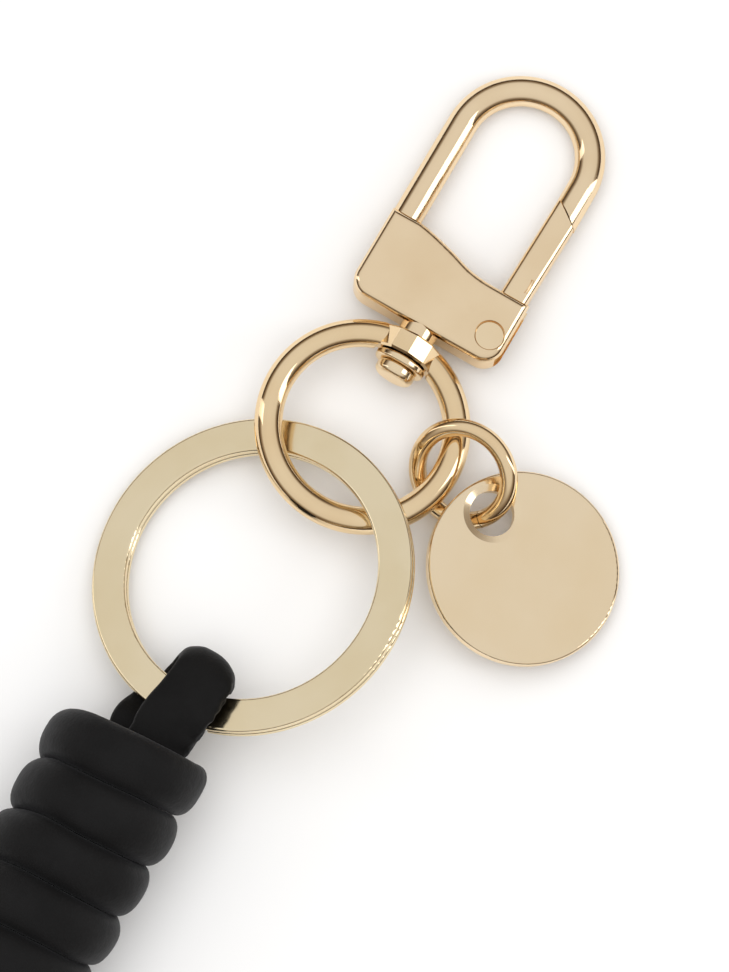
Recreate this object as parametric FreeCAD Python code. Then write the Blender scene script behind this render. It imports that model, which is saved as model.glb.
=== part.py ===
import FreeCAD, Part
import math
import os

# Wristlet keychain, millimetres, +Z up, +Y from the wrist loop towards the hook.
# The chain is laid out flat on a table; every link is placed from the link it hangs on.

# --- hook ---
HOOK_LENGTH = 31.6      # base face to the outside of the bow
HOOK_WIDTH = 18.0
BOW_WIRE = 3.3          # round wire of the bow
BASE_THICK = 4.6
BASE_LEFT = 10.2        # base height at the fixed leg
BASE_RIGHT = 8.0        # base height at the gate
BASE_CORNER = 2.2       # plan radius of the two lower corners
BASE_EDGE = 0.9         # rounding along the base outline
HOOK_TILT = 5.2         # degrees, the bow tip rests on the table

# --- gate and its rivet ---
GATE_WIDTH = 3.2
GATE_THICK = 2.9
GATE_SIDE_GAP = 0.08    # gate to each cheek of the clevis
GATE_SWING = 25.0       # degrees inwards
GATE_ROOM = 0.3         # room round the swinging gate inside the clevis
RIVET_X = 6.9
RIVET_Y = 2.9
RIVET_SHANK = 1.6
RIVET_FIT = 0.05        # radial, gate on rivet
RIVET_HEAD = 3.3
RIVET_SINK = 0.25       # head sits this far below the rim of its recess
NOSE_SLOPE = -36.0      # degrees, line where nose and gate meet
NOSE_Y = 19.1           # height of that line at the gate centre
NOSE_GAP = 0.12

# --- swivel ---
NECK_DIA = 4.2
NECK_LEN = 1.0
STUD_DIA = 2.8
STUD_FIT = 0.08         # radial, collar on stud
STUD_IN_BASE = 3.0
COLLAR_DIA = 6.6
COLLAR_LEN = 2.5
COLLAR_GAP = 0.1
WASHER_DIA = 5.7
WASHER_LEN = 0.9
HEAD_DIA = 4.4
HEAD_LEN = 1.4
RING_R = 10.15          # swivel ring, mean radius
RING_WIRE = 3.0
RING_ROLL = 7.0         # degrees about the stud, left side up

# --- key ring: flat split ring of two coils ---
KEY_OUT = 17.5
KEY_WIDTH = 3.7
KEY_THICK = 1.9
KEY_SEAM = 0.06
KEY_ROUND = 0.32
KEY_LAP = 5.85          # how far the two mean circles overlap
KEY_ANGLE = -96.0       # direction of the key ring from the swivel ring
KEY_PITCH = -0.02       # slope along the chain, the strap holds its end up
STEP_HALF = 9.0         # half angle of the step between the coils

# --- jump ring and disc ---
JUMP_R = 5.25
JUMP_WIRE = 1.9
JUMP_OUT = 1.65         # jump ring centre outside the swivel ring's mean circle
JUMP_ANGLE = 4.7
JUMP_SLOPE = 0.2
JUMP_SEAM = 0.08
DISC_R = 10.5
DISC_THICK = 1.5
DISC_HOLE = 4.9
DISC_HOLE_AT = 6.7
DISC_ROUND = 0.35
DISC_RIM = 0.75         # width of the coined rim round the hole
DISC_ON_JUMP = -25.0    # plan angle on the jump ring where the disc hangs
DISC_DIR = -30.0
DISC_FALL = 4.0
DISC_ROLL = 12.0
LINK_GAP = 0.2          # free room between hanging links

# --- leather ---
STRAP_WIDTH = 7.3
STRAP_THICK = 1.7
STRAP_ROOM = 1.2        # between the key ring and each leg
STRAP_SLACK = 2.5       # between the key ring and the loop's bend
STRAP_IN = 9.0          # length of each leg inside the knot
STRAP_AT = 6.0          # degrees round the key ring from its lowest point
STRAP_NIP = 5.6         # width of the legs where the knot grips them
LEG_HIGH = 0.95         # front leg above the knot's axis
LEG_LOW = 2.4           # back leg below the knot's axis
LEG_RIGHT = 1.9         # front leg to the right of the axis at the knot's front
LEG_LEFT = 0.7
KNOT_R = 8.9
KNOT_PITCH = 6.0
KNOT_TURNS = 7
WRAP_DEPTH = 3.6        # radial depth of the flattened wrap cord
WRAP_GAP = 0.12         # between neighbouring turns
KNOT_SHIFT = -1.7       # knot axis to the left of the strap
KNOT_AFTER = 2.2        # key ring's outer edge to the first turn
CORD_DIA = 5.2
LOOP_HALF = 21.5        # half width of the wrist loop, cord centre to centre
LOOP_LENGTH = 144.0
LOOP_SHIFT = 4.0        # the loop lies a little to the right of the knot's axis


def vec(x, y, z=0.0):
    return FreeCAD.Vector(x, y, z)


def rad(a):
    return math.radians(a)


def frame(origin, xdir, ydir, zdir):
    return FreeCAD.Placement(origin, FreeCAD.Rotation(xdir, ydir, zdir, "ZXY"))


def put(shape, place):
    out = shape.copy()
    out.Placement = place.multiply(out.Placement)
    return out


def plane_frame(centre, slope_x, slope_y, along):
    """Frame on a plane z = slope_x*x + slope_y*y; its x axis points along the plan angle."""
    up = vec(-slope_x, -slope_y, 1.0).normalize()
    ax = vec(math.cos(rad(along)), math.sin(rad(along)))
    ax.z = slope_x * ax.x + slope_y * ax.y
    ax.normalize()
    return frame(centre, ax, up.cross(ax), up)


def height_on(place, x, y):
    """Height of a frame's XY plane above the plan point x, y."""
    up = place.Rotation.multVec(vec(0, 0, 1))
    c = place.Base
    return c.z - (up.x * (x - c.x) + up.y * (y - c.y)) / up.z


def circles_meet(c1, r1, c2, r2):
    dx = c2.x - c1.x
    dy = c2.y - c1.y
    d = math.hypot(dx, dy)
    a = (r1 * r1 - r2 * r2 + d * d) / (2 * d)
    h = math.sqrt(r1 * r1 - a * a)
    ux, uy = dx / d, dy / d
    mx, my = c1.x + a * ux, c1.y + a * uy
    return vec(mx - h * uy, my + h * ux), vec(mx + h * uy, my - h * ux)


def wire_poly(points):
    return Part.makePolygon(points + [points[0]])


def rounded_face(w, h, r):
    """Rounded rectangle w by h about the origin in XY."""
    a, b = w / 2, h / 2
    s = r * (1 - math.sqrt(0.5))
    e = []
    e.append(Part.makeLine(vec(-a + r, -b), vec(a - r, -b)))
    e.append(Part.Arc(vec(a - r, -b), vec(a - s, -b + s), vec(a, -b + r)).toShape())
    e.append(Part.makeLine(vec(a, -b + r), vec(a, b - r)))
    e.append(Part.Arc(vec(a, b - r), vec(a - s, b - s), vec(a - r, b)).toShape())
    e.append(Part.makeLine(vec(a - r, b), vec(-a + r, b)))
    e.append(Part.Arc(vec(-a + r, b), vec(-a + s, b - s), vec(-a, b - r)).toShape())
    e.append(Part.makeLine(vec(-a, b - r), vec(-a, -b + r)))
    e.append(Part.Arc(vec(-a, -b + r), vec(-a + s, -b + s), vec(-a + r, -b)).toShape())
    return Part.Wire(e)


def rod(p, q, r):
    d = q.sub(p)
    return Part.makeCylinder(r, d.Length, p, d)


# ---------------------------------------------------------------- where things are

def leg_x():
    return (HOOK_WIDTH - BOW_WIRE) / 2


def bow_y():
    return HOOK_LENGTH - HOOK_WIDTH / 2


def collar_front():
    return -(NECK_LEN + COLLAR_GAP)


def ring_y():
    # the ring's mean circle crosses the stud a little before the middle of the collar
    return collar_front() - 0.35 * COLLAR_LEN - RING_R


def key_mean():
    return KEY_OUT - KEY_WIDTH / 2


def hook_place():
    t = rad(HOOK_TILT)
    z = BOW_WIRE / 2 + (HOOK_LENGTH - BOW_WIRE / 2) * math.sin(t)
    return frame(vec(0, 0, z), vec(1, 0, 0), vec(0, math.cos(t), -math.sin(t)),
                 vec(0, math.sin(t), math.cos(t)))


def ring_place():
    roll = FreeCAD.Placement(vec(0, ring_y(), 0), FreeCAD.Rotation(vec(0, 1, 0), RING_ROLL))
    return hook_place().multiply(roll)


def key_place():
    sw = ring_place()
    reach = RING_R + key_mean() - KEY_LAP
    k = vec(sw.Base.x + reach * math.cos(rad(KEY_ANGLE)),
            sw.Base.y + reach * math.sin(rad(KEY_ANGLE)))
    p, q = circles_meet(sw.Base, RING_R, k, key_mean())
    left, right = (p, q) if p.x < q.x else (q, p)
    room = (RING_WIRE / 2 + KEY_THICK / 2 + LINK_GAP) / 0.96 + 0.32 * KEY_WIDTH / 2
    zl = height_on(sw, left.x, left.y) - room
    zr = height_on(sw, right.x, right.y) + room
    chord = right.sub(left)
    length = chord.Length
    u = vec(chord.x / length, chord.y / length)
    v = vec(-u.y, u.x)
    s = (zr - zl) / length
    gx = s * u.x + KEY_PITCH * v.x
    gy = s * u.y + KEY_PITCH * v.y
    mid = left.add(right).multiply(0.5)
    z = (zl + zr) / 2 + gx * (k.x - mid.x) + gy * (k.y - mid.y)
    return plane_frame(vec(k.x, k.y, z), gx, gy, 0.0)


def jump_place():
    sw = ring_place()
    reach = RING_R + JUMP_OUT
    j = vec(sw.Base.x + reach * math.cos(rad(JUMP_ANGLE)),
            sw.Base.y + reach * math.sin(rad(JUMP_ANGLE)))
    p, q = circles_meet(sw.Base, RING_R, j, JUMP_R)
    top, low = (p, q) if p.y > q.y else (q, p)
    room = (RING_WIRE / 2 + JUMP_WIRE / 2 + LINK_GAP) * 1.34
    zt = height_on(sw, top.x, top.y) + room
    zb = height_on(sw, low.x, low.y) - room
    chord = top.sub(low)
    length = chord.Length
    u = vec(chord.x / length, chord.y / length)
    v = vec(u.y, -u.x)
    s = (zt - zb) / length
    gx = s * u.x + JUMP_SLOPE * v.x
    gy = s * u.y + JUMP_SLOPE * v.y
    mid = top.add(low).multiply(0.5)
    z = (zt + zb) / 2 + gx * (j.x - mid.x) + gy * (j.y - mid.y)
    return plane_frame(vec(j.x, j.y, z), gx, gy, DISC_ON_JUMP)


def disc_place():
    """Frame at the disc's hole; x runs from the hole to the disc centre."""
    hole = jump_place().multVec(vec(JUMP_R, 0, 0))
    a = rad(DISC_DIR)
    f = -math.tan(rad(DISC_FALL))
    s = -math.tan(rad(DISC_ROLL))
    gx = f * math.cos(a) - s * math.sin(a)
    gy = f * math.sin(a) + s * math.cos(a)
    return plane_frame(hole, gx, gy, DISC_DIR)


def strap_place():
    """Frame at the middle of the key ring's section where the strap goes round it."""
    k = key_place()
    a = rad(STRAP_AT)
    spot = vec(key_mean() * math.sin(a), -key_mean() * math.cos(a), 0)
    return frame(k.multVec(spot), k.Rotation.multVec(vec(1, 0, 0)),
                 k.Rotation.multVec(vec(0, 1, 0)), k.Rotation.multVec(vec(0, 0, 1)))


def knot_place():
    """Frame at the front of the knot on its axis, y pointing at the hook."""
    k = key_place().Base
    return FreeCAD.Placement(vec(k.x + KNOT_SHIFT, k.y - KEY_OUT - KNOT_AFTER, KNOT_R),
                             FreeCAD.Rotation())


# ---------------------------------------------------------------- hook pieces

def base_outline():
    a = HOOK_WIDTH / 2
    c = BASE_CORNER
    s = c * (1 - math.sqrt(0.5))
    drop = BASE_LEFT - BASE_RIGHT
    left = vec(-a, BASE_LEFT)
    share = [(-0.62, 0.0), (-0.42, 0.15), (-0.24, 0.34), (-0.04, 0.58), (0.14, 0.82),
             (0.33, 0.96), (0.52, 1.0)]
    pts = [vec(x * a, BASE_LEFT - drop * f) for x, f in share]
    curve = Part.BSplineCurve()
    curve.interpolate(pts)
    right = vec(a, BASE_RIGHT)
    e = []
    e.append(Part.makeLine(left, pts[0]))
    e.append(curve.toShape())
    e.append(Part.makeLine(pts[-1], right))
    e.append(Part.makeLine(right, vec(a, c)))
    e.append(Part.Arc(vec(a, c), vec(a - s, s), vec(a - c, 0)).toShape())
    e.append(Part.makeLine(vec(a - c, 0), vec(-a + c, 0)))
    e.append(Part.Arc(vec(-a + c, 0), vec(-a + s, s), vec(-a, c)).toShape())
    e.append(Part.makeLine(vec(-a, c), left))
    return Part.Face(Part.Wire(e))


def rounded_block(face, thick, edge):
    block = face.extrude(vec(0, 0, thick))
    block.translate(vec(0, 0, -thick / 2))
    rim = []
    for e in block.Edges:
        b = e.BoundBox
        if b.ZLength < 1e-4:
            rim.append(e)
    try:
        return block.makeFillet(edge, rim)
    except Exception:
        return block.makeChamfer(edge * 0.6, rim)


def clevis_cut():
    """Room for the gate between the two cheeks, at rest and swung in."""
    h = GATE_THICK + 2 * GATE_SIDE_GAP
    r = GATE_WIDTH / 2 + GATE_ROOM
    c = vec(RIVET_X, RIVET_Y)
    t = rad(GATE_SWING)
    up = BASE_LEFT * 1.5
    left = vec(c.x - r * math.cos(t), c.y - r * math.sin(t))
    pts = [left,
           vec(left.x - up * math.tan(t), left.y + up),
           vec(HOOK_WIDTH, left.y + up),
           vec(HOOK_WIDTH, c.y - r),
           vec(c.x, c.y - r)]
    block = Part.Face(wire_poly(pts)).extrude(vec(0, 0, h))
    eye = Part.makeCylinder(r, h, c)
    cut = block.fuse(eye)
    cut.translate(vec(0, 0, -h / 2))
    return cut


def nose_cut(gap_sign):
    """What lies on the gate side (-1) or the nose side (+1) of the slanted joint."""
    t = rad(NOSE_SLOPE)
    d = vec(math.cos(t), math.sin(t))
    n = vec(-math.sin(t), math.cos(t))
    p = vec(leg_x(), NOSE_Y).add(n.multiply(-gap_sign * NOSE_GAP / 2))
    n = vec(-math.sin(t), math.cos(t)).multiply(gap_sign * 30)
    a = p.sub(d.multiply(20))
    d = vec(math.cos(t), math.sin(t)).multiply(20)
    b = p.add(d)
    face = Part.Face(wire_poly([a, b, b.add(n), a.add(n)]))
    cut = face.extrude(vec(0, 0, 20))
    cut.translate(vec(0, 0, -10))
    return cut


def bow():
    r = BOW_WIRE / 2
    x = leg_x()
    y = bow_y()
    left = rod(vec(-x, BASE_LEFT - 4.0), vec(-x, y), r)
    right = rod(vec(x, NOSE_Y - 6.0), vec(x, y), r)
    arc = Part.makeTorus(x, r, vec(0, y), vec(0, 0, 1))
    lower = Part.makeBox(4 * x, 2 * x, 4 * r, vec(-2 * x, y - 2 * x, -2 * r))
    arc = arc.cut(lower)
    right = right.cut(nose_cut(-1))
    nose = right
    return left.fuse([arc, nose]).removeSplitter()


def hook_body():
    base = rounded_block(base_outline(), BASE_THICK, BASE_EDGE)
    base = base.cut(clevis_cut())
    neck = rod(vec(0, -NECK_LEN), vec(0, BASE_CORNER), NECK_DIA / 2)
    body = base.fuse([bow(), neck])
    c = vec(RIVET_X, RIVET_Y)
    half = BASE_THICK / 2
    body = body.cut(Part.makeCylinder(RIVET_SHANK / 2, 2 * half, vec(c.x, c.y, -half)))
    depth = RIVET_SINK + 0.3
    for side in (1, -1):
        p = vec(c.x, c.y, side * half)
        sink = Part.makeCylinder(RIVET_HEAD / 2, depth, p, vec(0, 0, -side))
        body = body.cut(sink)
    bore = rod(vec(0, -NECK_LEN - 1), vec(0, STUD_IN_BASE), STUD_DIA / 2)
    body = body.cut(bore)
    return body.removeSplitter()


def gate():
    """Bar from the rivet eye up to the slanted joint, with a shallow thumb scallop."""
    w = GATE_WIDTH
    c = vec(RIVET_X, RIVET_Y)
    top = BASE_LEFT + HOOK_LENGTH
    lean = leg_x() - RIVET_X
    prof = rounded_face(w, GATE_THICK, 0.75)
    bar = Part.Face(prof).extrude(vec(0, 0, top - c.y))
    bar.rotate(vec(0, 0, 0), vec(1, 0, 0), -90)
    bar.translate(vec(c.x, c.y, 0))
    keep = Part.makeBox(w * 4, NOSE_Y + w - c.y, 20, vec(c.x - 2 * w, c.y, -10))
    bar = bar.common(keep)
    if abs(lean) > 1e-6:
        # the bar leans out so that its tip meets the nose on the wire's centre
        bar.rotate(c, vec(0, 0, 1), -math.degrees(math.atan2(lean, NOSE_Y - c.y)))
    eye = Part.makeCylinder(w / 2, GATE_THICK, vec(c.x, c.y, -GATE_THICK / 2))
    body = bar.fuse(eye)
    body = body.cut(nose_cut(1))
    hole = Part.makeCylinder(RIVET_SHANK / 2 + RIVET_FIT, 10, vec(c.x, c.y, -5))
    body = body.cut(hole)
    y = BASE_RIGHT + 1.9
    tick = Part.makeTorus(3.2, 0.16, vec(c.x + 0.34 * w - 3.2, y, GATE_THICK / 2), vec(0, 0, 1))
    short = Part.makeBox(6.4, 1.7, 1.0, vec(c.x - 3.2, y - 0.85, GATE_THICK / 2 - 0.5))
    body = body.cut(tick.common(short))
    return body.removeSplitter()


def gate_rivet():
    c = vec(RIVET_X, RIVET_Y)
    half = BASE_THICK / 2
    floor = half - RIVET_SINK - 0.3
    shank = Part.makeCylinder(RIVET_SHANK / 2, 2 * floor, vec(c.x, c.y, -floor))
    parts = []
    for side in (1, -1):
        head = Part.makeCylinder(RIVET_HEAD / 2 - 0.06, 0.3, vec(c.x, c.y, side * floor),
                                 vec(0, 0, side))
        rim = []
        for e in head.Edges:
            if e.BoundBox.ZLength < 1e-4 and abs(e.BoundBox.ZMin - side * (floor + 0.3)) < 1e-4:
                rim.append(e)
        parts.append(head.makeFillet(0.14, rim))
    return shank.fuse(parts).removeSplitter()


# ---------------------------------------------------------------- swivel pieces

def stud_end():
    return collar_front() - COLLAR_LEN - COLLAR_GAP - WASHER_LEN


def swivel_stud():
    y = stud_end()
    shank = rod(vec(0, y - 0.2), vec(0, STUD_IN_BASE), STUD_DIA / 2)
    head = rod(vec(0, y), vec(0, y - HEAD_LEN), HEAD_DIA / 2)
    rim = [e for e in head.Edges if abs(e.BoundBox.YMin - (y - HEAD_LEN)) < 1e-4
           and e.BoundBox.YLength < 1e-4]
    head = head.makeFillet(min(0.65, HEAD_LEN * 0.45), rim)
    rim = [e for e in head.Edges if abs(e.BoundBox.YMin - y) < 1e-4
           and e.BoundBox.YLength < 1e-4]
    head = head.makeFillet(0.3, rim)
    return shank.fuse(head).removeSplitter()


def swivel_washer():
    y = stud_end()
    ring = rod(vec(0, y), vec(0, y + WASHER_LEN), WASHER_DIA / 2)
    ring = ring.makeFillet(0.3, [e for e in ring.Edges if e.BoundBox.YLength < 1e-4])
    return ring.cut(rod(vec(0, y - 1), vec(0, y + 2), STUD_DIA / 2))


def swivel_ring():
    """Round ring with a ten-sided collar, in the ring's own frame (centre at the origin)."""
    torus = Part.makeTorus(RING_R, RING_WIRE / 2)
    shift = -ring_y()
    front = collar_front() + shift
    pts = []
    for i in range(10):
        a = rad(36 * i + 18)
        pts.append(vec(COLLAR_DIA / 2 * math.cos(a), front, COLLAR_DIA / 2 * math.sin(a)))
    collar = Part.Face(wire_poly(pts)).extrude(vec(0, -COLLAR_LEN, 0))
    ends = [e for e in collar.Edges if e.BoundBox.YLength < 1e-4]
    collar = collar.makeChamfer(0.22, ends)
    body = torus.fuse(collar)
    flat = rod(vec(0, front, 0), vec(0, front + 4, 0), 4.0)
    body = body.cut(flat)
    bore = rod(vec(0, front + 4, 0), vec(0, front - COLLAR_LEN - 2, 0), STUD_DIA / 2 + STUD_FIT)
    body = body.cut(bore)
    room = rod(vec(0, front - COLLAR_LEN, 0), vec(0, front - COLLAR_LEN - 4, 0),
               WASHER_DIA / 2 + 0.4)
    body = body.cut(room)
    return body.removeSplitter()


# ---------------------------------------------------------------- rings and disc

def coil(z0, z1, a0, a1):
    """One flat coil of the key ring from angle a0 to a1, between heights z0 and z1."""
    h = z1 - z0
    prof = rounded_face(KEY_WIDTH, h, min(KEY_ROUND, h * 0.42))
    prof.rotate(vec(0, 0, 0), vec(1, 0, 0), 90)
    prof.translate(vec(key_mean(), 0, (z0 + z1) / 2))
    face = Part.Face(prof)
    face.rotate(vec(0, 0, 0), vec(0, 0, 1), a0)
    return face.revolve(vec(0, 0, 0), vec(0, 0, 1), a1 - a0)


def coil_step(a0, a1, z0, z1, h):
    """Short ramp that carries the strip from the lower coil to the upper one."""
    wires = []
    n = 6
    for i in range(n + 1):
        f = i / n
        g = f * f * (3 - 2 * f)
        w = rounded_face(KEY_WIDTH, h, min(KEY_ROUND, h * 0.42))
        w.rotate(vec(0, 0, 0), vec(1, 0, 0), 90)
        w.translate(vec(key_mean(), 0, z0 + g * (z1 - z0)))
        w.rotate(vec(0, 0, 0), vec(0, 0, 1), a0 + f * (a1 - a0))
        wires.append(w)
    return Part.makeLoft(wires, True, False)


def key_ring():
    half = KEY_THICK / 2
    h = half - KEY_SEAM / 2
    mid = -90.0 + STRAP_AT
    free = 0.5
    top = coil(KEY_SEAM / 2, half, mid + STEP_HALF, mid + 360 - STEP_HALF - free)
    low = coil(-half, -KEY_SEAM / 2, mid + STEP_HALF + free, mid + 360 - STEP_HALF)
    zl = -(half + KEY_SEAM / 2) / 2
    step = coil_step(mid - STEP_HALF, mid + STEP_HALF, zl, -zl, h)
    return top.fuse([low, step])


def jump_ring():
    torus = Part.makeTorus(JUMP_R, JUMP_WIRE / 2)
    slit = Part.makeBox(JUMP_WIRE * 2, JUMP_SEAM, JUMP_WIRE * 2,
                        vec(JUMP_R - JUMP_WIRE, -JUMP_SEAM / 2, -JUMP_WIRE))
    slit.rotate(vec(0, 0, 0), vec(0, 0, 1), -14)
    return torus.cut(slit)


def disc_charm():
    """Disc with its hole at the origin and its centre on +x."""
    t = DISC_THICK
    body = Part.makeCylinder(DISC_R, t, vec(DISC_HOLE_AT, 0, -t / 2))
    body = body.makeFillet(DISC_ROUND, [e for e in body.Edges if e.BoundBox.ZLength < 1e-4])
    body = body.cut(Part.makeCylinder(DISC_HOLE / 2, 4 * t, vec(0, 0, -2 * t)))
    for side in (1, -1):
        cone = Part.makeCone(DISC_HOLE / 2 + DISC_RIM, DISC_HOLE / 2, 0.25,
                             vec(0, 0, side * t / 2), vec(0, 0, -side))
        body = body.cut(cone)
    return body.removeSplitter()


# ---------------------------------------------------------------- leather pieces

def strap_stations():
    """Path of the strap's middle: point, width direction, width; from the front leg's end
    in the knot, over the key ring, round the bend and back under the ring to the tail."""
    s = strap_place()
    k = knot_place()
    ex = s.Rotation.multVec(vec(1, 0, 0))
    reach = KEY_WIDTH / 2 + STRAP_SLACK
    lift = KEY_THICK / 2 + STRAP_ROOM + STRAP_THICK / 2
    front = k.Base.y - s.Base.y
    axis = k.Base.x - s.Base.x
    up = k.Base.z - s.Base.z
    high = up + LEG_HIGH
    low = up - LEG_LOW
    bend = reach - lift + STRAP_THICK / 2
    lean = axis + LEG_RIGHT
    back = axis - LEG_LEFT
    w = STRAP_WIDTH
    n = STRAP_NIP
    pts = []
    pts.append((vec(axis + 0.5 * LEG_RIGHT, front - STRAP_IN, high), 0.0, 0.0, n))
    pts.append((vec(axis + 0.6 * LEG_RIGHT, front - STRAP_IN * 0.6, high), 0.0, 0.0, n))
    pts.append((vec(axis + 0.75 * LEG_RIGHT, front - 2.0, high), 0.0, 0.0, n))
    pts.append((vec(axis + 0.88 * LEG_RIGHT, front - 0.9, high), 0.05, 0.0, 0.8 * w))
    pts.append((vec(lean, front + 0.1, high + 0.05), 0.15, 0.0, 0.94 * w))
    pts.append((vec(lean * 0.5, front * 0.5, 0.5 * (lift + high) + 0.15), 0.6, 0.0, w))
    pts.append((vec(0.0, 0.0, lift + 0.05), 1.0, 0.0, w))
    pts.append((vec(0.1, bend, lift), 1.0, 0.0, w))
    for a in (55, 20, -20, -55):
        c = math.cos(rad(a))
        z = math.sin(rad(a))
        pts.append((vec(-0.4 + 0.5 * z, bend + lift * c, lift * z), 1.0, 0.0, w))
    pts.append((vec(-0.9, bend, -lift), 1.0, -3.0, w))
    pts.append((vec(-1.6, 0.0, -lift - 0.05), 1.0, -8.0, w))
    pts.append((vec(0.8 * back, front * 0.62, -lift + 0.3 * (low + lift)), 0.6, -10.0, w))
    pts.append((vec(back, front + 0.1, low - 0.1), 0.15, -5.0, 0.9 * w))
    pts.append((vec(axis - 0.8 * LEG_LEFT, front - 2.0, low), 0.0, 0.0, n))
    pts.append((vec(axis - 0.7 * LEG_LEFT, front - STRAP_IN * 0.6, low), 0.0, 0.0, n))
    pts.append((vec(axis - 0.6 * LEG_LEFT, front - STRAP_IN, low), 0.0, 0.0, n))
    out = []
    for p, twist, yaw, width in pts:
        wd = vec(*ex).multiply(twist).add(vec(1, 0, 0).multiply(1 - twist))
        wd = vec(wd.x, wd.y + math.sin(rad(yaw)), wd.z).normalize()
        fall = p.x * twist * ex.z / ex.x
        world = vec(s.Base.x + p.x, s.Base.y + p.y, s.Base.z + p.z + fall)
        out.append((world, wd, width))
    return out


def hanger_loop():
    """One leather strap: front leg, bend through the key ring, back leg and tail."""
    st = strap_stations()
    path = Part.BSplineCurve()
    path.interpolate([p for p, wd, width in st])
    at = [path.parameter(p) for p, wd, width in st]
    wires = []
    steps = 3
    last = len(st) - 1
    for n in range(last * steps + 1):
        i = min(n // steps, last - 1)
        f = n / steps - i
        u = at[i] + f * (at[i + 1] - at[i])
        t = path.tangent(u)[0]
        a = vec(*st[i][1]).multiply(1 - f)
        b = vec(*st[i + 1][1]).multiply(f)
        wd = a.add(b)
        wd = wd.sub(vec(*t).multiply(wd.dot(t))).normalize()
        width = st[i][2] + f * (st[i + 1][2] - st[i][2])
        prof = rounded_face(width, STRAP_THICK, 0.3)
        prof.Placement = frame(path.value(u), wd, t.cross(wd), t)
        wires.append(prof)
    return Part.makeLoft(wires, True, True)


def knot_length():
    return KNOT_TURNS * KNOT_PITCH


def core_radius():
    return KNOT_R - WRAP_DEPTH - 0.05


def cord_start():
    # the cord's legs begin inside the last turn of the wrap
    return -knot_length() + 4.0


def knot_wrap():
    """Flattened padded cord wound round the core, in the knot's frame (axis -y)."""
    w = KNOT_PITCH - WRAP_GAP
    mid = KNOT_R - WRAP_DEPTH / 2
    turns = KNOT_TURNS - 1.0
    helix = Part.makeHelix(KNOT_PITCH, KNOT_PITCH * turns, mid)
    prof = rounded_face(WRAP_DEPTH, w, 1.6)
    prof.rotate(vec(0, 0, 0), vec(1, 0, 0), 90)
    prof.translate(vec(mid, 0, 0))
    pipe = Part.Wire(helix.Edges).makePipeShell([prof], True, True)
    pipe.rotate(vec(0, 0, 0), vec(1, 0, 0), 90)
    pipe.translate(vec(0, -KNOT_PITCH / 2, 0))
    return pipe


def knot_core():
    """The packed filling inside the wrap, with a slot for the strap's two legs."""
    r = core_radius()
    core = rod(vec(0, -2.0), vec(0, cord_start() + 0.1), r)
    top = LEG_HIGH + STRAP_THICK / 2 + 0.2
    low = LEG_LOW + STRAP_THICK / 2 + 0.2
    deep = STRAP_IN + 0.8
    slot = Part.makeBox(4 * r, deep, top + low, vec(-2 * r, -deep, -low))
    return core.cut(slot)


def cord_route():
    """Wrist loop, corner points of the cord's route in the knot's frame."""
    y0 = cord_start()
    h = LOOP_HALF
    x0 = CORD_DIA / 2 + 0.03
    side = 2 * h * math.tan(rad(22.5))
    far = y0 - LOOP_LENGTH
    floor = CORD_DIA / 2 - KNOT_R
    half = [vec(-x0, y0, 0.0),
            vec(-x0, y0 - 22.0, 0.0),
            vec(-h * 0.46, y0 - 50.0, floor),
            vec(-h * 0.9, y0 - 80.0, floor),
            vec(-h, far + h + side / 2, floor),
            vec(-h, far + h - side / 2, floor),
            vec(-side / 2, far, floor)]
    other = [vec(-p.x, p.y, p.z) for p in reversed(half)]
    for p in half[2:] + other[:-2]:
        p.x += LOOP_SHIFT * min(1.0, (y0 - 25.0 - p.y) / 60.0)
    return half + other


def tube(points, dia):
    """Round tube along straight runs joined by tangent arcs; returns it and the radii."""
    n = len(points)
    edges = []
    radii = []
    last = points[0]
    for i in range(1, n - 1):
        a = points[i - 1].sub(points[i])
        b = points[i + 1].sub(points[i])
        la, lb = a.Length, b.Length
        a.normalize()
        b.normalize()
        turn = math.pi - a.getAngle(b)
        cut = 0.45 * min(la, lb)
        radii.append(cut / math.tan(turn / 2))
        p = points[i].add(vec(a.x, a.y, a.z).multiply(cut))
        q = points[i].add(vec(b.x, b.y, b.z).multiply(cut))
        bis = a.add(b).normalize()
        gap = radii[-1] / math.cos(turn / 2) - radii[-1]
        m = points[i].add(bis.multiply(gap))
        edges.append(Part.makeLine(last, p))
        edges.append(Part.Arc(p, m, q).toShape())
        last = q
    edges.append(Part.makeLine(last, points[-1]))
    path = Part.Wire(edges)
    d = points[1].sub(points[0]).normalize()
    circle = Part.Wire(Part.makeCircle(dia / 2, points[0], d))
    body = path.makePipeShell([circle], True, False)
    return body, radii, path.Length


# ---------------------------------------------------------------- assembly

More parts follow.
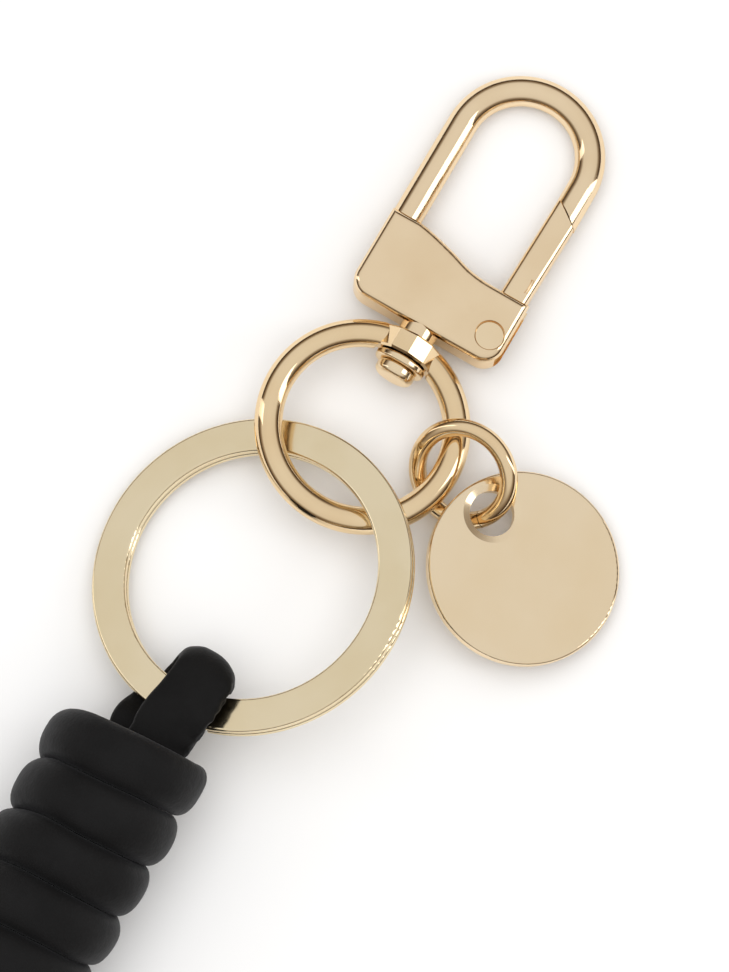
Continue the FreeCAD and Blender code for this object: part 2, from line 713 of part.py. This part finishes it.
def make_all():
    hook = hook_place()
    ring = ring_place()
    key = key_place()
    knot = knot_place()
    strap = hanger_loop()
    cord, radii, length = tube(cord_route(), CORD_DIA)
    nodes = {}
    nodes["hook_body"] = put(hook_body(), hook)
    nodes["gate"] = put(gate(), hook)
    nodes["gate_rivet"] = put(gate_rivet(), hook)
    nodes["swivel_stud"] = put(swivel_stud(), hook)
    nodes["swivel_washer"] = put(swivel_washer(), hook)
    nodes["swivel_ring"] = put(swivel_ring(), ring)
    nodes["key_ring"] = put(key_ring(), key)
    nodes["jump_ring"] = put(jump_ring(), jump_place())
    nodes["disc_charm"] = put(disc_charm(), disc_place())
    nodes["hanger_loop"] = strap
    nodes["knot_core"] = put(knot_core(), knot)
    nodes["knot_wrap"] = put(knot_wrap(), knot)
    nodes["wrist_loop"] = put(cord, knot)
    lo = [1e9, 1e9, 1e9]
    hi = [-1e9, -1e9, -1e9]
    for name, s in nodes.items():
        if name == "wrist_loop":
            continue
        for p in s.tessellate(0.02)[0]:
            for i, v in enumerate((p.x, p.y, p.z)):
                lo[i] = min(lo[i], v)
                hi[i] = max(hi[i], v)
    shift = vec(-(lo[0] + hi[0]) / 2, -(lo[1] + hi[1]) / 2, -lo[2])
    for name in nodes:
        nodes[name] = nodes[name].copy()
        nodes[name].translate(shift)
    return nodes, shift, radii, length


def build():
    os.makedirs("parts", exist_ok=True)
    nodes, shift, radii, length = make_all()
    for name, s in nodes.items():
        s.exportStep("parts/" + name + ".step")
        print(name, "valid", s.isValid(), "solids", len(s.Solids), "mm3", round(s.Volume, 2))
    want = math.pi * (CORD_DIA / 2) ** 2 * length
    print("cord bend radii mm", [round(r, 1) for r in radii], "length", round(length, 1))
    print("cord volume over section times length", round(nodes["wrist_loop"].Volume / want, 4))
    print("shift", round(shift.x, 4), round(shift.y, 4), round(shift.z, 4))


if __name__ == "__main__":
    build()
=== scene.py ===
import math

import bpy
from mathutils import Matrix, Vector, noise


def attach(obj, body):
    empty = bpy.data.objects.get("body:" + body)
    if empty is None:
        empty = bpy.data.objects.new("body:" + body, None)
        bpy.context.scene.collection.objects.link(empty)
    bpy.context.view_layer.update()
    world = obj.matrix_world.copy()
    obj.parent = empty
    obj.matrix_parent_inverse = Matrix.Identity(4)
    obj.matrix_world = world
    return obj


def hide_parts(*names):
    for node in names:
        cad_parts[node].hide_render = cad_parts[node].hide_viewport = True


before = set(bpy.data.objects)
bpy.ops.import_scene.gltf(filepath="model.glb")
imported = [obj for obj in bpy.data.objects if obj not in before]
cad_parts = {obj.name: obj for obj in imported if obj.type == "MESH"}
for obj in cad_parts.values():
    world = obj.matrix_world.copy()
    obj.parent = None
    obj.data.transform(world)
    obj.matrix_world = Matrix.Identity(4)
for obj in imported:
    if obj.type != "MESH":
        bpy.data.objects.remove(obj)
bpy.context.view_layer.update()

bpy.ops.object.select_all(action="DESELECT")

# ---------------------------------------------------------------- camera
# The camera looks nearly straight down on the chain as it lies on a table, from far
# enough away that the hook and the knot keep their true proportions.
look_at = Vector((-0.0036, 0.0137, 0.004))
turn, lift, away = math.radians(29.8), math.radians(81.5), 0.590
back = Vector((math.sin(turn) * math.cos(lift), -math.cos(turn) * math.cos(lift), math.sin(lift)))
bpy.ops.object.camera_add(location=look_at + back * away)
camera = bpy.context.object
camera.rotation_mode = "QUATERNION"
camera.rotation_quaternion = (-back).to_track_quat("-Z", "Y")
camera.data.lens = 205.0
camera.data.clip_start, camera.data.clip_end = 0.01, 20.0
bpy.context.scene.camera = camera

# ---------------------------------------------------------------- wrist loop
# A round padded cord of black nappa leather. Both ends leave the back of the knot side
# by side, and the loop lies flat on the table.
MM = 0.001


def black_leather(name, colour, grain, sheen):
    """Matte black nappa: fine pebbled grain, soft creases and a faint bloom on its curves."""
    mat = bpy.data.materials.new(name)
    mat.use_nodes = True
    nodes, links = mat.node_tree.nodes, mat.node_tree.links
    skin = nodes["Principled BSDF"]
    skin.inputs["Specular IOR Level"].default_value = 0.16
    skin.inputs["Sheen Weight"].default_value = sheen
    skin.inputs["Sheen Roughness"].default_value = 0.45
    skin.inputs["Sheen Tint"].default_value = (0.75, 0.76, 0.8, 1.0)
    place = nodes.new("ShaderNodeTexCoord")
    dye = nodes.new("ShaderNodeTexNoise")
    dye.inputs["Scale"].default_value = 170.0
    dye.inputs["Detail"].default_value = 4.0
    links.new(place.outputs["Object"], dye.inputs["Vector"])
    tone = nodes.new("ShaderNodeValToRGB")
    tone.color_ramp.elements[0].position = 0.3
    tone.color_ramp.elements[0].color = tuple(c * 0.72 for c in colour) + (1.0,)
    tone.color_ramp.elements[1].position = 0.75
    tone.color_ramp.elements[1].color = tuple(c * 1.3 for c in colour) + (1.0,)
    links.new(dye.outputs["Fac"], tone.inputs["Fac"])
    pebble = nodes.new("ShaderNodeTexVoronoi")
    pebble.feature = "SMOOTH_F1"
    pebble.inputs["Scale"].default_value = grain
    pebble.inputs["Smoothness"].default_value = 0.35
    links.new(place.outputs["Object"], pebble.inputs["Vector"])
    pores = nodes.new("ShaderNodeTexNoise")
    pores.inputs["Scale"].default_value = grain * 2.6
    pores.inputs["Detail"].default_value = 2.0
    links.new(place.outputs["Object"], pores.inputs["Vector"])
    fold = nodes.new("ShaderNodeTexNoise")
    fold.inputs["Scale"].default_value = 520.0
    fold.inputs["Detail"].default_value = 5.0
    fold.inputs["Roughness"].default_value = 0.6
    fold.inputs["Distortion"].default_value = 0.8
    links.new(place.outputs["Object"], fold.inputs["Vector"])
    # pale dust of the flesh side shows in the valleys between the pebbles
    worn = nodes.new("ShaderNodeMix")
    worn.data_type = "RGBA"
    worn.inputs[7].default_value = tuple(min(1.0, c * 2.6) for c in colour) + (1.0,)
    flecks = nodes.new("ShaderNodeMapRange")
    flecks.inputs["From Min"].default_value = 0.62
    flecks.inputs["From Max"].default_value = 0.8
    flecks.inputs["To Max"].default_value = 0.5
    links.new(pores.outputs["Fac"], flecks.inputs["Value"])
    links.new(flecks.outputs["Result"], worn.inputs[0])
    links.new(tone.outputs["Color"], worn.inputs[6])
    links.new(worn.outputs[2], skin.inputs["Base Color"])
    dull = nodes.new("ShaderNodeMapRange")
    dull.inputs["To Min"].default_value = 0.5
    dull.inputs["To Max"].default_value = 0.72
    links.new(fold.outputs["Fac"], dull.inputs["Value"])
    links.new(dull.outputs["Result"], skin.inputs["Roughness"])
    creases = nodes.new("ShaderNodeBump")
    creases.inputs["Strength"].default_value = 0.35
    creases.inputs["Distance"].default_value = 0.12 * MM
    links.new(fold.outputs["Fac"], creases.inputs["Height"])
    pebbled = nodes.new("ShaderNodeBump")
    pebbled.inputs["Strength"].default_value = 0.3
    pebbled.inputs["Distance"].default_value = 0.05 * MM
    links.new(pebble.outputs["Distance"], pebbled.inputs["Height"])
    links.new(creases.outputs["Normal"], pebbled.inputs["Normal"])
    pored = nodes.new("ShaderNodeBump")
    pored.inputs["Strength"].default_value = 0.35
    pored.inputs["Distance"].default_value = 0.03 * MM
    links.new(pores.outputs["Fac"], pored.inputs["Height"])
    links.new(pebbled.outputs["Normal"], pored.inputs["Normal"])
    links.new(pored.outputs["Normal"], skin.inputs["Normal"])
    return mat


cord_leather = black_leather("cord_nappa", (0.0052, 0.0051, 0.0053), 3000.0, 0.07)
loop_route = [
    (-13.24, -58.58, 8.9),
    (-13.24, -80.58, 8.9),
    (-18.84, -108.58, 2.6),
    (-26.30, -138.58, 2.6),
    (-28.11, -172.17, 2.6),
    (-28.11, -189.99, 2.6),
    (-15.52, -202.58, 2.6),
    (2.29, -202.58, 2.6),
    (14.89, -189.99, 2.6),
    (14.89, -172.17, 2.6),
    (12.40, -138.58, 2.6),
    (0.94, -108.58, 2.6),
    (-7.98, -80.58, 8.9),
    (-7.98, -58.58, 8.9),
]
cord_dia = 5.2 * MM
line = bpy.data.curves.new("wrist_cord", "CURVE")
line.dimensions = "3D"
line.bevel_depth = cord_dia / 2
line.bevel_resolution = 8
line.resolution_u = 24
line.use_fill_caps = True
run = line.splines.new("NURBS")
run.points.add(len(loop_route) - 1)
for dot, (x, y, z) in zip(run.points, loop_route):
    dot.co = (x * MM, y * MM, z * MM, 1.0)
run.order_u = 3
run.use_endpoint_u = True
wrist_cord = bpy.data.objects.new("wrist_cord", line)
bpy.context.scene.collection.objects.link(wrist_cord)
wrist_cord.data.materials.append(cord_leather)
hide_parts("wrist_loop")
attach(wrist_cord, "wristlet")

# ---------------------------------------------------------------- snap hook
# The bow and its base are one zinc casting, polished and plated pale gold. The base's
# upper edge is S-shaped and its outline softly rounded.


def gold_plate(name, tint, dark, shine, ripple):
    """Polished pale gold plating over a casting: faint cloudiness, ripple and fine haze."""
    mat = bpy.data.materials.new(name)
    mat.use_nodes = True
    nodes, links = mat.node_tree.nodes, mat.node_tree.links
    metal = nodes["Principled BSDF"]
    metal.inputs["Metallic"].default_value = 1.0
    metal.inputs["Specular Tint"].default_value = (1.0, 0.93, 0.82, 1.0)
    place = nodes.new("ShaderNodeTexCoord")
    cloud = nodes.new("ShaderNodeTexNoise")
    cloud.inputs["Scale"].default_value = 120.0
    cloud.inputs["Detail"].default_value = 3.0
    links.new(place.outputs["Object"], cloud.inputs["Vector"])
    wash = nodes.new("ShaderNodeValToRGB")
    wash.color_ramp.elements[0].position = 0.3
    wash.color_ramp.elements[0].color = dark + (1.0,)
    wash.color_ramp.elements[1].position = 0.62
    wash.color_ramp.elements[1].color = tint + (1.0,)
    links.new(cloud.outputs["Fac"], wash.inputs["Fac"])
    links.new(wash.outputs["Color"], metal.inputs["Base Color"])
    haze = nodes.new("ShaderNodeTexNoise")
    haze.inputs["Scale"].default_value = 1500.0
    haze.inputs["Detail"].default_value = 4.0
    links.new(place.outputs["Object"], haze.inputs["Vector"])
    gloss = nodes.new("ShaderNodeMapRange")
    gloss.inputs["From Min"].default_value = 0.35
    gloss.inputs["From Max"].default_value = 0.75
    gloss.inputs["To Min"].default_value = shine
    gloss.inputs["To Max"].default_value = shine + 0.07
    links.new(haze.outputs["Fac"], gloss.inputs["Value"])
    links.new(gloss.outputs["Result"], metal.inputs["Roughness"])
    swell = nodes.new("ShaderNodeTexNoise")
    swell.inputs["Scale"].default_value = 230.0
    swell.inputs["Detail"].default_value = 1.5
    links.new(place.outputs["Object"], swell.inputs["Vector"])
    cast = nodes.new("ShaderNodeBump")
    cast.inputs["Strength"].default_value = ripple
    cast.inputs["Distance"].default_value = 0.10 * MM
    links.new(swell.outputs["Fac"], cast.inputs["Height"])
    links.new(cast.outputs["Normal"], metal.inputs["Normal"])
    return mat


def finish_node(name, mat):
    """Gives a CAD node its plating."""
    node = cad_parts[name]
    node.data.materials.clear()
    node.data.materials.append(mat)


hook_gold = gold_plate("hook_plating", (0.88, 0.70, 0.47), (0.83, 0.64, 0.41), 0.07, 0.25)
finish_node("hook_body", hook_gold)

# ---------------------------------------------------------------- gate and rivet
# The sprung gate is a separate bar that turns on a steel rivet through the base. Its nose
# closes on the slanted end of the bow.
finish_node("gate", hook_gold)
rivet_gold = gold_plate("rivet_plating", (0.90, 0.73, 0.50), (0.86, 0.68, 0.44), 0.09, 0.12)
finish_node("gate_rivet", rivet_gold)

# ---------------------------------------------------------------- swivel
# A headed stud is pressed into the base. The ring's faceted collar turns on it, held by a
# loose washer under the head.
finish_node("swivel_stud", rivet_gold)
finish_node("swivel_washer", rivet_gold)
ring_gold = gold_plate("ring_plating", (0.87, 0.68, 0.43), (0.83, 0.62, 0.37), 0.06, 0.15)
finish_node("swivel_ring", ring_gold)

# ---------------------------------------------------------------- key ring
# A flat split ring, stamped from strip: two coils that lie on each other, with a fine seam
# round the wall. Its plating is paler and a little duller than the castings'.
key_gold = gold_plate("key_ring_plating", (0.84, 0.72, 0.50), (0.80, 0.67, 0.44), 0.12, 0.08)
finish_node("key_ring", key_gold)

# ---------------------------------------------------------------- charm
# A round disc stamped from sheet, with a coined rim round its hole, hangs from a jump ring
# of round wire whose ends meet in a butt.
finish_node("jump_ring", ring_gold)
charm_gold = gold_plate("charm_plating", (0.88, 0.72, 0.50), (0.86, 0.69, 0.46), 0.10, 0.05)
finish_node("disc_charm", charm_gold)

# ---------------------------------------------------------------- hanger strap
# A strip of the same leather, folded once through the key ring; both legs go into the
# knot. Its left edge is turned, its right edge is cut raw and frays.
strap_width, strap_thick = 7.2 * MM, 1.66 * MM
strap_edge = 0.62 * MM        # rounding of its edges
rows_along, rows_across = 150, 12
raw_from = 0.7                # share of the half width where the raw edge starts to be ragged
fold_height = 7.6 * MM        # the middle of the fold
fold_reach = 3.4 * MM         # how far along the strip its rounded corners reach
# middle of the strip (mm), direction of its width, width as a share of the full one
strap_route = [
    ((-9.66, -29.2, 9.85), (1.0, 0.0, 0.0), 0.78),
    ((-9.35, -26.0, 9.85), (1.0, 0.0, 0.0), 0.78),
    ((-9.0, -22.6, 9.90), (0.998, -0.06, 0.0), 0.80),
    ((-8.60, -20.9, 9.95), (0.997, -0.07, 0.03), 0.93),
    ((-8.35, -18.6, 10.15), (0.984, -0.07, 0.14), 0.99),
    ((-8.0, -16.4, 10.35), (0.965, -0.06, 0.25), 0.98),
    ((-7.8, -14.2, 10.35), (0.962, -0.04, 0.27), 0.96),
    ((-7.75, -12.2, 9.95), (0.957, -0.03, 0.29), 0.94),
    ((-7.85, -11.0, 8.60), (0.955, 0.0, 0.296), 0.92),
    ((-8.10, -11.0, 6.55), (0.955, 0.0, 0.296), 0.92),
    ((-8.35, -12.2, 4.95), (0.955, 0.0, 0.296), 0.96),
    ((-8.65, -14.2, 4.35), (0.954, -0.05, 0.295), 1.0),
    ((-9.30, -16.4, 4.10), (0.946, -0.14, 0.293), 1.0),
    ((-10.57, -18.9, 4.75), (0.969, -0.17, 0.18), 1.0),
    ((-11.30, -20.6, 6.30), (0.995, -0.09, 0.04), 0.90),
    ((-11.17, -22.6, 6.50), (1.0, 0.0, 0.0), 0.78),
    ((-11.10, -26.0, 6.50), (1.0, 0.0, 0.0), 0.78),
    ((-11.03, -29.2, 6.50), (1.0, 0.0, 0.0), 0.78),
]


def smooth_line(points, steps):
    """Points along a smooth curve that passes through every given point."""
    out = []
    last = len(points) - 1
    for i in range(last):
        p0, p1 = points[max(i - 1, 0)], points[i]
        p2, p3 = points[i + 1], points[min(i + 2, last)]
        for k in range(steps):
            t = k / steps
            out.append(0.5 * ((2 * p1) + (p2 - p0) * t + (2 * p0 - 5 * p1 + 4 * p2 - p3) * t * t
                              + (3 * p1 - p0 - 3 * p2 + p3) * t ** 3))
    out.append(points[-1])
    return out


def lay_along(mesh, points, widths):
    """Bends a straight strip (length on x from 0, width on y, thickness on z) along a path."""
    gone = [0.0]
    for a, b in zip(points, points[1:]):
        gone.append(gone[-1] + (b - a).length)
    total = gone[-1]
    for v in mesh.vertices:
        s = min(max(v.co.x, 0.0), total)
        i = min(max(next((k for k, g in enumerate(gone) if g > s), len(gone) - 1) - 1, 0),
                len(points) - 2)
        f = (s - gone[i]) / (gone[i + 1] - gone[i])
        a, b = points[max(i - 1, 0)], points[min(i + 2, len(points) - 1)]
        mid = (points[i + 1] - points[i]).normalized()
        before = (points[i] - a).normalized() if a != points[i] else mid
        after = (b - points[i + 1]).normalized() if b != points[i + 1] else mid
        ahead = ((before + mid) * (1 - f) + (mid + after) * f).normalized()
        side = widths[i].lerp(widths[i + 1], f)
        share = side.length
        side = (side - ahead * side.dot(ahead)).normalized()
        up = ahead.cross(side)
        side *= share
        v.co = points[i].lerp(points[i + 1], f) + side * v.co.y + up * v.co.z


def lone_object(name, mat, angle=60.0):
    """Names the active object, gives it its leather and leaves nothing selected."""
    piece = bpy.context.object
    piece.name = piece.data.name = name
    piece.data.materials.clear()
    piece.data.materials.append(mat)
    bpy.ops.object.transform_apply(location=True, rotation=True, scale=True)
    bpy.ops.object.shade_smooth_by_angle(angle=math.radians(angle))
    bpy.ops.object.select_all(action="DESELECT")
    return piece


strap_line = smooth_line([Vector(p) * MM for p, w, share in strap_route], 6)
strap_sides = smooth_line([Vector(w) * share for p, w, share in strap_route], 6)
strap_length = sum((b - a).length for a, b in zip(strap_line, strap_line[1:]))
bpy.ops.mesh.primitive_cube_add(size=1.0)
strip = bpy.context.object
strip.scale = (strap_length, strap_width, strap_thick)
strip.location = (strap_length / 2, 0.0, 0.0)
bpy.ops.object.transform_apply(location=True, rotation=True, scale=True)
bpy.ops.object.mode_set(mode="EDIT")
bpy.ops.mesh.select_all(action="SELECT")
bpy.ops.mesh.bevel(offset=strap_edge, segments=4, affect="EDGES")
for k in range(1, rows_along):
    bpy.ops.mesh.select_all(action="SELECT")
    bpy.ops.mesh.bisect(plane_co=(strap_length * k / rows_along, 0, 0), plane_no=(1, 0, 0))
for k in range(1 - rows_across // 2, rows_across // 2):
    bpy.ops.mesh.select_all(action="SELECT")
    bpy.ops.mesh.bisect(plane_co=(0, strap_width * k / rows_across, 0), plane_no=(0, 1, 0))
bpy.ops.mesh.select_all(action="SELECT")
bpy.ops.mesh.bisect(plane_co=(0, 0, 0), plane_no=(0, 0, 1))
bpy.ops.object.mode_set(mode="OBJECT")
for v in strip.data.vertices:
    across = v.co.y / (strap_width / 2)
    along = v.co.x / MM
    # the middle is a little padded and the raw side is ragged
    v.co.z *= 1.0 + 0.10 * (1.0 - across * across)
    v.co.z += 0.06 * MM * noise.noise(Vector((along * 0.45, across * 2.0, 1.0)))
    if across > raw_from:
        rag = (across - raw_from) / (1.0 - raw_from)
        tear = noise.noise(Vector((along * 1.1, v.co.z / MM * 0.8, 4.0)))
        bite = noise.noise(Vector((along * 4.2, v.co.z / MM * 2.5, 9.0)))
        v.co.y += rag * (0.30 * tear + 0.24 * bite) * MM
        v.co.z += rag * 0.16 * MM * noise.noise(Vector((along * 2.6, across, 15.0)))
flat = [(v.co.x, v.co.y / (strap_width / 2)) for v in strip.data.vertices]
lay_along(strip.data, strap_line, strap_sides)
fold_at = 0.0
for a, b in zip(strap_line, strap_line[1:]):
    if a.z < fold_height:
        break
    fold_at += (b - a).length
for v, (along, across) in zip(strip.data.vertices, flat):
    # the fold's two corners are rounded off, the raw one further back
    near_fold = math.exp(-((along - fold_at) / fold_reach) ** 2)
    raw_corner = 1.7 * max(0.0, across + 0.05) ** 2.2
    turned_corner = 2.5 * max(0.0, -across - 0.35) ** 1.6
    v.co.y -= near_fold * (raw_corner + turned_corner) * MM
strap_leather = black_leather("strap_nappa", (0.0045, 0.0043, 0.0043), 2600.0, 0.05)
leather_strap = lone_object("leather_strap", strap_leather)
grow = leather_strap.modifiers.new("round", "SUBSURF")
grow.levels = grow.render_levels = 1
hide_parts("hanger_loop")
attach(leather_strap, "wristlet")

# ---------------------------------------------------------------- knot
# The same padded cord is wound tightly round the ends, six full turns, so every turn is
# pressed flat against its neighbours and bulges outwards.
knot_x, knot_z, knot_front = -10.61 * MM, 8.9 * MM, -20.575 * MM
knot_radius, pitch, depth = 8.9 * MM, 6.0 * MM, 3.6 * MM
full_turns = 6
half_cord = pitch / 2 - 0.03 * MM
turn_slope = 0.62 * MM        # the turns lie squarer on the seen side than a plain coil's
pleats_round = 34.0
bpy.ops.mesh.primitive_circle_add(vertices=32, radius=1.0)
wrap = bpy.context.object
for v in wrap.data.vertices:
    a = math.atan2(v.co.y, v.co.x)
    # pressed flat on its neighbours and on the filling, full and round outside
    c, s = math.cos(a), math.sin(a)
    bulge = abs(c) ** (0.92 if c > 0 else 0.5) * (1 if c > 0 else -1)
    flank = abs(s) ** 0.86 * (1 if s > 0 else -1)
    v.co = Vector((bulge * depth / 2, 0.0, flank * half_cord))
    v.co.x += knot_radius - depth / 2
winding = wrap.modifiers.new("winding", "SCREW")
winding.axis = "Z"
winding.angle = 2 * math.pi
winding.screw_offset = pitch
winding.iterations = full_turns
winding.steps = winding.render_steps = 96
winding.use_normal_calculate = True
bpy.ops.object.modifier_apply(modifier="winding")
bpy.ops.object.mode_set(mode="EDIT")
bpy.ops.mesh.select_all(action="DESELECT")
bpy.ops.mesh.select_non_manifold()
bpy.ops.mesh.edge_face_add()
bpy.ops.mesh.select_all(action="SELECT")
bpy.ops.mesh.normals_make_consistent(inside=False)
bpy.ops.object.mode_set(mode="OBJECT")
for v in wrap.data.vertices:
    around = math.atan2(v.co.y, v.co.x)
    r = math.hypot(v.co.x, v.co.y)
    out = Vector((math.cos(around), math.sin(around), 0.0))
    spot = v.co / MM
    outside = min(max((r - (knot_radius - depth)) / depth, 0.0), 1.0)
    # hand winding: the turns swell and lie unevenly
    v.co.z += turn_slope * math.cos(around)
    v.co += out * outside * (0.20 * noise.noise(spot * 0.16) - 0.03) * MM
    v.co.z += 0.28 * MM * noise.noise(Vector((spot.x * 0.13, spot.y * 0.13, spot.z * 0.35 + 7.0)))
    # the leather gathers in short pleats where the first turn turns in over the strap
    near = max(0.0, 1.0 - max(spot.z + 3.0, 0.0) / 3.2)
    pleat = math.sin(around * pleats_round + 3.0 * noise.noise(spot * 0.5))
    v.co += out * near * outside * 0.07 * pleat * MM
lying = Matrix.Rotation(math.radians(90), 4, "X")
wrap.data.transform(Matrix.Translation((knot_x, knot_front - pitch / 2, knot_z)) @ lying)
knot_wrapping = lone_object("knot_wrapping", cord_leather)
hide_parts("knot_wrap")
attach(knot_wrapping, "wristlet")

# ---------------------------------------------------------------- knot filling
# The cord's own ends and packing inside the winding, a soft plug of the same leather. Only
# its rounded front shows, between the strap's legs.
filling_radius, filling_length, filling_y = 5.1 * MM, 35.0 * MM, -40.4 * MM
bpy.ops.mesh.primitive_cylinder_add(vertices=48, radius=filling_radius, depth=filling_length)
core = bpy.context.object
core.data.transform(Matrix.Translation((knot_x, filling_y, knot_z)) @ lying)
bpy.ops.object.mode_set(mode="EDIT")
bpy.ops.mesh.select_all(action="SELECT")
bpy.ops.mesh.bevel(offset=1.6 * MM, segments=4, affect="EDGES")
bpy.ops.object.mode_set(mode="OBJECT")
knot_filling = lone_object("knot_filling", cord_leather)
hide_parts("knot_core")
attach(knot_filling, "wristlet")

# ---------------------------------------------------------------- table and light
# A plain pale table under a light tent: two broad panels overhead that don't show in the
# metal, a strip on the gate side and a dimmer one opposite.
bpy.ops.mesh.primitive_plane_add(size=6.0, location=(0.0, 0.0, 0.0))
table = bpy.context.object
table.name = "table"
paper = bpy.data.materials.new("table_paper")
paper.use_nodes = True
paper.node_tree.nodes["Principled BSDF"].inputs["Base Color"].default_value = (0.9, 0.9, 0.9, 1.0)
paper.node_tree.nodes["Principled BSDF"].inputs["Roughness"].default_value = 0.9
paper.node_tree.nodes["Principled BSDF"].inputs["Specular IOR Level"].default_value = 0.1
table.data.materials.append(paper)


def panel(name, at, aim, size, watts, tint=(1.0, 1.0, 1.0)):
    lamp = bpy.data.lights.new(name, "AREA")
    lamp.shape = "RECTANGLE"
    lamp.size, lamp.size_y = size
    lamp.energy = watts
    lamp.color = tint
    holder = bpy.data.objects.new(name, lamp)
    holder.location = at
    holder.rotation_mode = "QUATERNION"
    holder.rotation_quaternion = (Vector(aim) - Vector(at)).to_track_quat("-Z", "Y")
    bpy.context.scene.collection.objects.link(holder)
    return holder


overhead = panel("overhead", (-0.1, 0.15, 1.1), (0, 0, 0), (1.3, 1.3), 3.2)
overhead.visible_glossy = False
panel("gate_side", (0.85, 0.40, 0.42), (0, 0.02, 0), (0.2, 0.9), 1.3)
panel("far_side", (-0.95, -0.15, 0.36), (0, 0, 0), (0.2, 0.9), 0.7)
wash_light = panel("table_wash", (0.0, -0.1, 1.6), (0, 0, 0), (1.6, 1.6), 9.0)
wash_light.visible_glossy = False
world = bpy.data.worlds.new("tent")
bpy.context.scene.world = world
world.use_nodes = True
sky = world.node_tree
seen = sky.nodes.new("ShaderNodeTexCoord")
split = sky.nodes.new("ShaderNodeSeparateXYZ")
sky.links.new(seen.outputs["Generated"], split.inputs["Vector"])
height = sky.nodes.new("ShaderNodeValToRGB")
sky.links.new(split.outputs["Z"], height.inputs["Fac"])
stops = height.color_ramp.elements
stops[0].position, stops[0].color = 0.0, (0.06, 0.045, 0.035, 1.0)
stops[1].position, stops[1].color = 1.0, (0.85, 0.85, 0.85, 1.0)
for at, shade in ((0.2, (0.09, 0.06, 0.04, 1.0)), (0.4, (0.32, 0.27, 0.22, 1.0)),
                  (0.6, (0.8, 0.79, 0.78, 1.0))):
    stops.new(at).color = shade
sky.links.new(height.outputs["Color"], sky.nodes["Background"].inputs["Color"])
sky.nodes["Background"].inputs["Strength"].default_value = 1.0
bpy.context.scene.view_settings.view_transform = "Standard"

# ---------------------------------------------------------------- update
# The scene's transforms are brought up to date.
bpy.context.view_layer.update()
